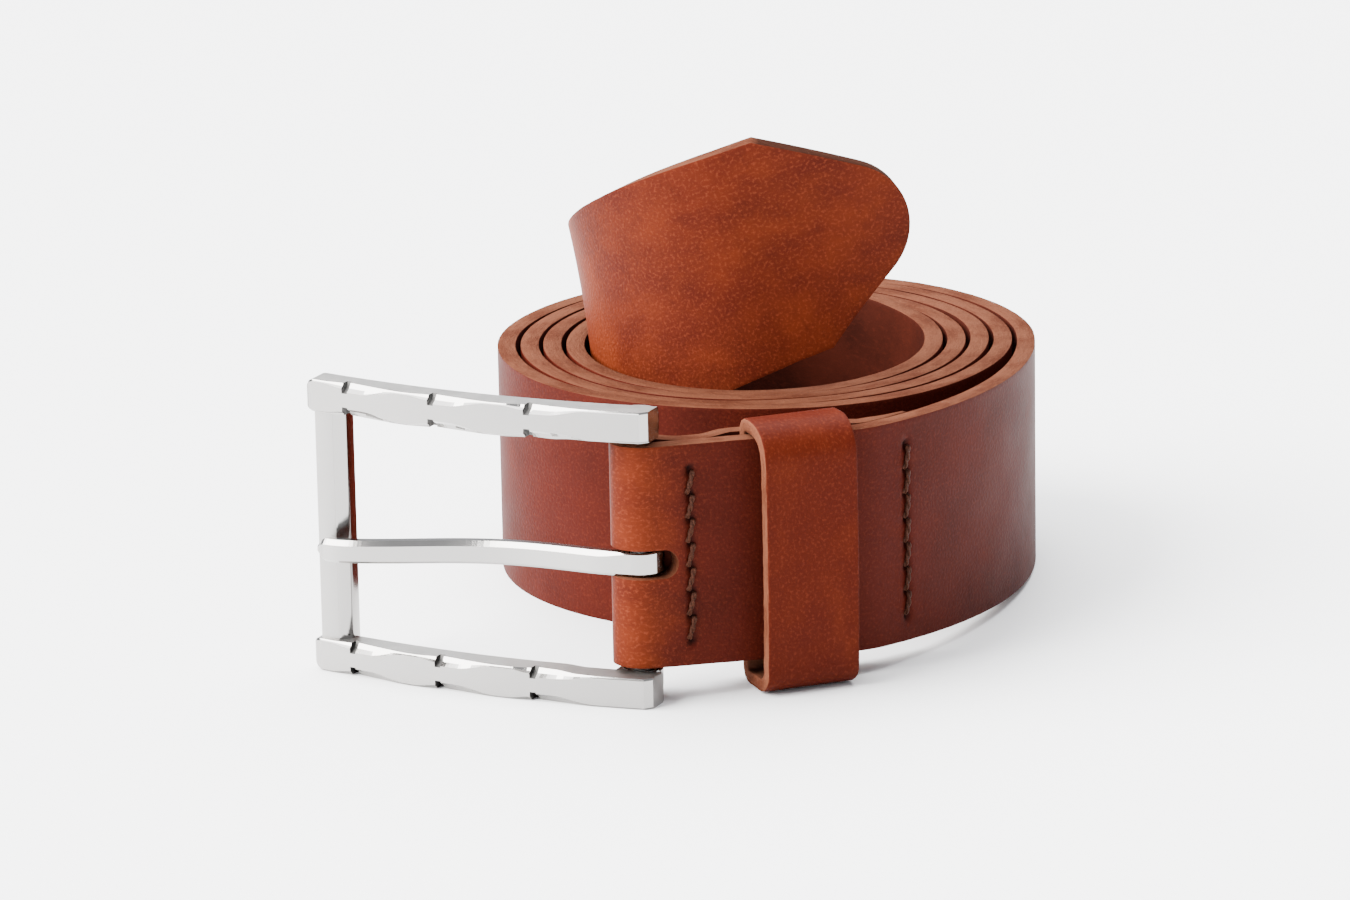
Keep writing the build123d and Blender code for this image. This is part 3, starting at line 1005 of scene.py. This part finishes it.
def polish_facets(piece):
    """Pits are material 2, a dark nickel painting their shade and some grime. Faces to the front, back, up or
    down are satin, 0, and all others polished, 1.
    """
    for face in piece.faces:
        spot = face.calc_center_median()
        in_pit = any(notch - 0.1 * MM < spot.x < notch + PIT - 0.1 * MM for notch in NOTCHES)
        satin = max(abs(face.normal.y), abs(face.normal.z)) > 0.93
        recess = spot.y - front_edge(spot.x)
        face.material_index = 2 if in_pit and 0.3 * MM < recess < 2.4 * MM else 0 if satin else 1
        face.smooth = True


def bevelled(piece, edges, offset, segments=2):
    """Rounds the edges."""
    bmesh.ops.bevel(
        piece, geom=edges, offset=offset, offset_type="OFFSET", segments=segments, profile=0.5,
        affect="EDGES", material=-1, clamp_overlap=True,
    )


class BELT_OT_buckle(bpy.types.Operator):
    """Casts the buckle's frame: two notched side bars, the end bar and the lugs of the heel bar"""

    bl_idname = "belt.buckle"
    bl_label = "Buckle frame"

    def execute(self, context):
        piece = bmesh.new()
        lofted(piece, side_bar_rings())
        lug = bmesh.ops.create_cone(
            piece, cap_ends=True, segments=48, radius1=LUG_RADIUS, radius2=LUG_RADIUS, depth=LUG_HEIGHT,
            matrix=Matrix.Translation((0, 0, BAR_HEIGHT - 0.35 * MM - LUG_HEIGHT / 2)),
        )
        rims = [edge for edge in {edge for vertex in lug["verts"] for edge in vertex.link_edges}
                if abs(edge.verts[0].co.z - edge.verts[1].co.z) < 0.1 * MM]
        bevelled(piece, rims, 0.4 * MM)
        web = Matrix.LocRotScale(
            Vector((0, -2.6 * MM, BAR_HEIGHT - 0.4 * MM - LUG_HEIGHT / 2)), None,
            Vector((2 * LUG_RADIUS - 0.2 * MM, 3.4 * MM, LUG_HEIGHT - 0.2 * MM)),
        )
        bmesh.ops.create_cube(piece, size=1.0, matrix=web)
        copies = bmesh.ops.duplicate(piece, geom=piece.verts[:] + piece.edges[:] + piece.faces[:])
        for item in copies["geom"]:
            if isinstance(item, bmesh.types.BMVert):
                item.co.z = BUCKLE_HEIGHT - item.co.z
        levels = (BAR_HEIGHT / 2, BUCKLE_HEIGHT - BAR_HEIGHT / 2)
        before = set(piece.verts)
        lofted(piece, [[Vector((x * MM, y * MM, level)) for x, y in END_BAR] for level in levels])
        fresh = [vertex for vertex in piece.verts if vertex not in before]
        uprights = {edge for vertex in fresh for edge in vertex.link_edges
                    if abs(edge.verts[0].co.z - edge.verts[1].co.z) > 10 * MM}
        bevelled(piece, list(uprights), 0.3 * MM, 3)
        bmesh.ops.recalc_face_normals(piece, faces=piece.faces[:])
        polish_facets(piece)
        bmesh.ops.transform(piece, matrix=buckle_place(), verts=piece.verts[:])
        tones = colours()
        materials = (
            nickel_finish("satin_nickel", tones.nickel, 0.24, 1.0),
            nickel_finish("polished_nickel", tones.nickel, 0.07, 0.0),
            # Dark nickel for the pits: painted shade, with some grime.
            nickel_finish("pit_shade_and_grime_nickel", tuple(0.22 * channel for channel in tones.nickel), 0.5, 0.0),
        )
        finished("buckle_casting", piece, "buckle", materials, ("buckle_frame",), crease=22)
        frame["nodes"]["heel_bar"].data.materials.clear()
        frame["nodes"]["heel_bar"].data.materials.append(materials[0])
        frame["nodes"]["keeper_staple"].data.materials.clear()
        frame["nodes"]["keeper_staple"].data.materials.append(materials[1])
        return {"FINISHED"}


def smooth_line(points, steps=8):
    """A smooth line that runs near given points, as a cubic B-spline does."""
    padded = [points[0] * 2 - points[1], *points, points[-1] * 2 - points[-2]]
    line = []
    for number in range(len(points) - 1):
        first, start, end, last = padded[number:number + 4]
        for step in range(steps):
            t = step / steps
            line.append((
                first * (1 - t) ** 3 + start * (3 * t**3 - 6 * t**2 + 4)
                + end * (-3 * t**3 + 3 * t**2 + 3 * t + 1) + last * t**3
            ) / 6)
    return line + [points[-1]]


class BELT_OT_prong(bpy.types.Operator):
    """Bends the prong round the heel bar and out to the end bar"""

    bl_idname = "belt.prong"
    bl_label = "Prong"

    def execute(self, context):
        first, last, steps = PRONG_WRAP
        turns = [math.radians(first + (last - first) * number / steps) for number in range(steps)]
        wrap = [Vector((PRONG_EYE * math.cos(turn), PRONG_EYE * math.sin(turn), 0)) for turn in turns]
        blade = smooth_line([Vector((x * MM, y * MM, 0)) for x, y in PRONG_LINE])
        line = wrap + blade
        far = -PRONG_LINE[-1][0] * MM
        rings = []
        for number, point in enumerate(line):
            along = (line[min(number + 1, len(line) - 1)] - line[max(number - 1, 0)]).normalized()
            out = Vector((-along.y, along.x, 0))
            reach = min(max(-point.x / far, 0.0), 1.0) if number >= len(wrap) else 0.0
            middle = PRONG_HEIGHT - PRONG_DROP * reach
            nose = max(0.0, 1 - (far + point.x) / (2.0 * MM)) if number >= len(wrap) else 0.0
            shrink = math.sqrt(max(0.09, 1 - nose * nose))
            tall = (2.05 - 0.10 * reach) * MM * shrink
            thick = (1.10 + 0.22 * smooth_step(reach * 7) - 0.12 * reach) * MM * max(shrink, 0.6)
            chamfer = min((0.25 + 0.60 * smooth_step(reach * 9)) * MM, tall * 0.5)
            rim = min(0.45 * MM, tall * 0.3)
            corners = (
                (-thick, rim - tall), (rim - thick, -tall), (thick - rim, -tall), (thick, rim - tall),
                (thick, tall - chamfer), (thick - chamfer * 0.8, tall), (rim - thick, tall),
                (-thick, tall - rim),
            )
            rings.append([point + out * aside + UP * (middle + above) for aside, above in corners])
        piece = bmesh.new()
        lofted(piece, rings)
        bmesh.ops.recalc_face_normals(piece, faces=piece.faces[:])
        for face in piece.faces:
            face.smooth = True
        bmesh.ops.transform(piece, matrix=buckle_place(), verts=piece.verts[:])
        finish = nickel_finish("prong_nickel", colours().nickel, 0.10, 0.1)
        finished("prong_tongue", piece, "prong", (finish,), ("prong",), crease=28)
        return {"FINISHED"}


# ---------------------------------------------------------------- stage

CAMERA_PLACE = Vector((14.378, -1113.3, 335.42)) * MM
CAMERA_DOWN = math.radians(15.55)
CAMERA_PAN = 0.0137
CAMERA_ROLL = -0.0187
LENS = 175.3


def soft_light(name, source, strength, spread, tint):
    """Even light from one side of the room, with soft shadows."""
    data = bpy.data.lights.new(name, "SUN")
    data.energy = strength
    data.angle = math.radians(spread)
    data.color = tint
    light = bpy.data.objects.new(name, data)
    light.rotation_euler = (-Vector(source)).to_track_quat("-Z", "Y").to_euler()
    bpy.context.scene.collection.objects.link(light)


class BELT_OT_stage(bpy.types.Operator):
    """Lays the pale floor, and sets the soft lights and the camera"""

    bl_idname = "belt.stage"
    bl_label = "Stage"

    def execute(self, context):
        ground = bmesh.new()
        level = Matrix.Translation((0, 0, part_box("strap")[0].z))
        bmesh.ops.create_grid(ground, x_segments=1, y_segments=1, size=8.0, matrix=level)
        mesh = bpy.data.meshes.new("floor")
        ground.to_mesh(mesh)
        ground.free()
        floor = bpy.data.objects.new("floor", mesh)
        context.scene.collection.objects.link(floor)
        mesh.materials.append(Finish("floor", Base_Color=(*colours().floor, 1.0), Roughness=0.55).material)
        world = bpy.data.worlds.new("studio")
        world.use_nodes = True
        world.node_tree.nodes["Background"].inputs["Color"].default_value = (0.93, 0.95, 1.0, 1.0)
        world.node_tree.nodes["Background"].inputs["Strength"].default_value = 0.85
        context.scene.world = world
        soft_light("window", (-1.0, -0.25, 0.75), 17.0, 55, (1.0, 0.99, 0.97))
        soft_light("overhead", (-0.1, 0.45, 1.0), 9.5, 70, (1.0, 1.0, 1.0))
        camera = bpy.data.objects.new("camera", bpy.data.cameras.new("camera"))
        camera.data.lens = LENS
        camera.data.sensor_width = 36.0
        camera.data.clip_start = 0.01
        camera.location = CAMERA_PLACE
        upright = Matrix.Rotation(CAMERA_PAN, 3, "Z") @ Matrix.Rotation(math.pi / 2 - CAMERA_DOWN, 3, "X")
        camera.rotation_euler = (upright @ Matrix.Rotation(CAMERA_ROLL, 3, "Z")).to_euler()
        context.scene.collection.objects.link(camera)
        context.scene.camera = camera
        return {"FINISHED"}


class BELT_PT_panel(bpy.types.Panel):
    """Lists the belt's pieces and sizes"""

    bl_label = "Leather belt"
    bl_idname = "BELT_PT_panel"
    bl_space_type = "VIEW_3D"
    bl_region_type = "UI"
    bl_category = "Belt"

    def draw(self, context):
        for operator in OPERATORS:
            self.layout.operator(operator.bl_idname)
        for group in (context.scene.belt_sizes, context.scene.belt_colours):
            for name in group.bl_rna.properties.keys():
                if name not in ("rna_type", "name"):
                    self.layout.prop(group, name)


OPERATORS = (BELT_OT_strap, BELT_OT_seams, BELT_OT_keeper, BELT_OT_buckle, BELT_OT_prong, BELT_OT_stage)
CLASSES = (BeltSizes, BeltColours, *OPERATORS, BELT_PT_panel)


def register():
    for kind in CLASSES:
        bpy.utils.register_class(kind)
    bpy.types.Scene.belt_sizes = bpy.props.PointerProperty(type=BeltSizes)
    bpy.types.Scene.belt_colours = bpy.props.PointerProperty(type=BeltColours)


def unregister():
    del bpy.types.Scene.belt_colours
    del bpy.types.Scene.belt_sizes
    for kind in reversed(CLASSES):
        bpy.utils.unregister_class(kind)


def main():
    register()
    bpy.ops.belt.strap()
    bpy.ops.belt.seams()
    bpy.ops.belt.keeper()
    bpy.ops.belt.buckle()
    bpy.ops.belt.prong()
    bpy.ops.belt.stage()


if __name__ == "__main__":
    main()
